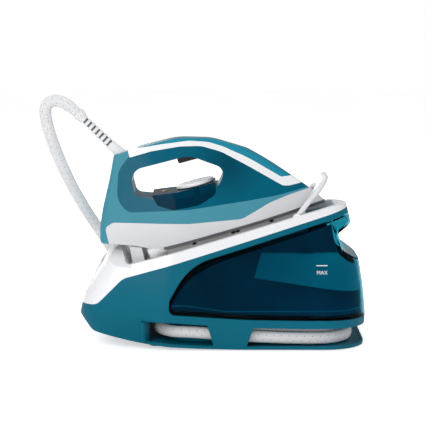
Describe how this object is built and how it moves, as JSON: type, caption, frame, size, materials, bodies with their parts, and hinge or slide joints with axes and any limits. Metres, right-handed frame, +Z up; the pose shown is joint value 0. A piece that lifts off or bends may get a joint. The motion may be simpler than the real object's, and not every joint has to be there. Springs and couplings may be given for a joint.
{
  "type": "steam generator iron",
  "caption": "Domestic steam generator iron: a steam iron standing nose-up on a base with a slide-out water tank, carrying lock hoop and hose winding groove.",
  "frame": {"origin": "on the ground under the middle of the base's bounding box, measured without the free hose", "axes": "+X towards the iron's nose and the water tank's front, +Y towards the side where the hose comes down, +Z up"},
  "size_m": [0.4243, 0.2215, 0.3181],
  "materials": {
    "base_teal": "glossy moulded",
    "cover_white": "glossy moulded",
    "tank_tint": "clear tinted",
    "black_rubber": "matt",
    "steel": "plain",
    "black_plastic": "fine texture",
    "panel_grey": "glossy",
    "lens_amber": "clear",
    "boiler_metal": "satin",
    "band_mica": "matt",
    "valve_brass": "plain",
    "board_green": "matt",
    "hoop_white": "glossy moulded",
    "sole_metal": "polished",
    "cast_alloy": "as cast",
    "skirt_grey": "satin moulded",
    "iron_teal": "glossy moulded",
    "iron_dark": "glossy moulded",
    "stripe_white": "glossy moulded",
    "cover_teal": "glossy moulded",
    "pod_smoke": "tinted",
    "dial_white": "satin",
    "relief_grey": "matt",
    "hose_cloth": "woven",
    "seal_grey": "matt"
  },
  "bodies": {
    "base": {"bottom_plate": "base_teal", "rubber_feet": "black_rubber", "base_screws": "steel", "base_housing": "base_teal", "tank_seal": "seal_grey", "cord_gland": "black_rubber", "hose_gland": "relief_grey", "top_cover": "cover_white", "control_panel": "panel_grey", "indicator_lenses": "lens_amber", "boiler": "boiler_metal", "heater_band": "band_mica", "steam_valve": "valve_brass", "pump": "black_plastic", "control_board": "board_green", "hoop_pins": "steel", "rest_pads": "black_rubber", "heel_support": "cover_white", "steam_hose_coil": "hose_cloth", "steam_hose_tail": "hose_cloth"},
    "iron": {"soleplate": "sole_metal", "steam_chamber": "cast_alloy", "heating_element": "steel", "thermostat": "steel", "iron_skirt": "skirt_grey", "iron_body": "iron_teal", "handle_shell": "iron_dark", "side_trim": "stripe_white", "handle_cover": "cover_teal", "control_pod": "pod_smoke", "pilot_lens": "lens_amber", "microswitch": "black_plastic", "trigger_spring": "steel", "iron_screws": "steel", "hose_collar": "relief_grey", "hose_strain_relief": "relief_grey", "steam_hose_loop": "hose_cloth"},
    "tank": {"water_tank": "tank_tint"},
    "hoop": {"lock_hoop": "hoop_white"},
    "dial": {"temperature_dial": "dial_white", "dial_shaft": "black_plastic"},
    "trigger": {"steam_trigger": "iron_teal"},
    "power_key": {"power_button": "cover_white"},
    "eco_key": {"eco_button": "cover_teal"}
  },
  "joints": [
    {"name": "iron_lift", "type": "slide", "parent": "base", "child": "iron", "axis": [-0.8387, 0, 0.5446], "range_m": [0, 0.12]},
    {"name": "hoop_swing", "type": "hinge", "parent": "base", "child": "hoop", "pos_m": [0.098, 0, 0.1618], "axis": [0, 1, 0], "range_deg": [0, 14]},
    {"name": "tank_slide", "type": "slide", "parent": "base", "child": "tank", "axis": [1, 0, 0], "range_m": [0, 0.2]},
    {"name": "dial_turn", "type": "hinge", "parent": "iron", "child": "dial", "pos_m": [-0.03433, 0, 0.20089], "axis": [-0.2419, 0, 0.9703], "range_deg": [-135, 135]},
    {"name": "trigger_press", "type": "slide", "parent": "iron", "child": "trigger", "axis": [-0.2588, 0, 0.9659], "range_m": [0, 0.003], "stiffness_N_per_m": 600, "springref_m": -0.004, "deforming": ["trigger_spring"]},
    {"name": "power_press", "type": "slide", "parent": "base", "child": "power_key", "axis": [0.8387, 0, -0.5446], "range_m": [0, 0.0015], "stiffness_N_per_m": 800, "springref_m": -0.002},
    {"name": "eco_press", "type": "slide", "parent": "base", "child": "eco_key", "axis": [0.8387, 0, -0.5446], "range_m": [0, 0.0015], "stiffness_N_per_m": 800, "springref_m": -0.002}
  ]
}
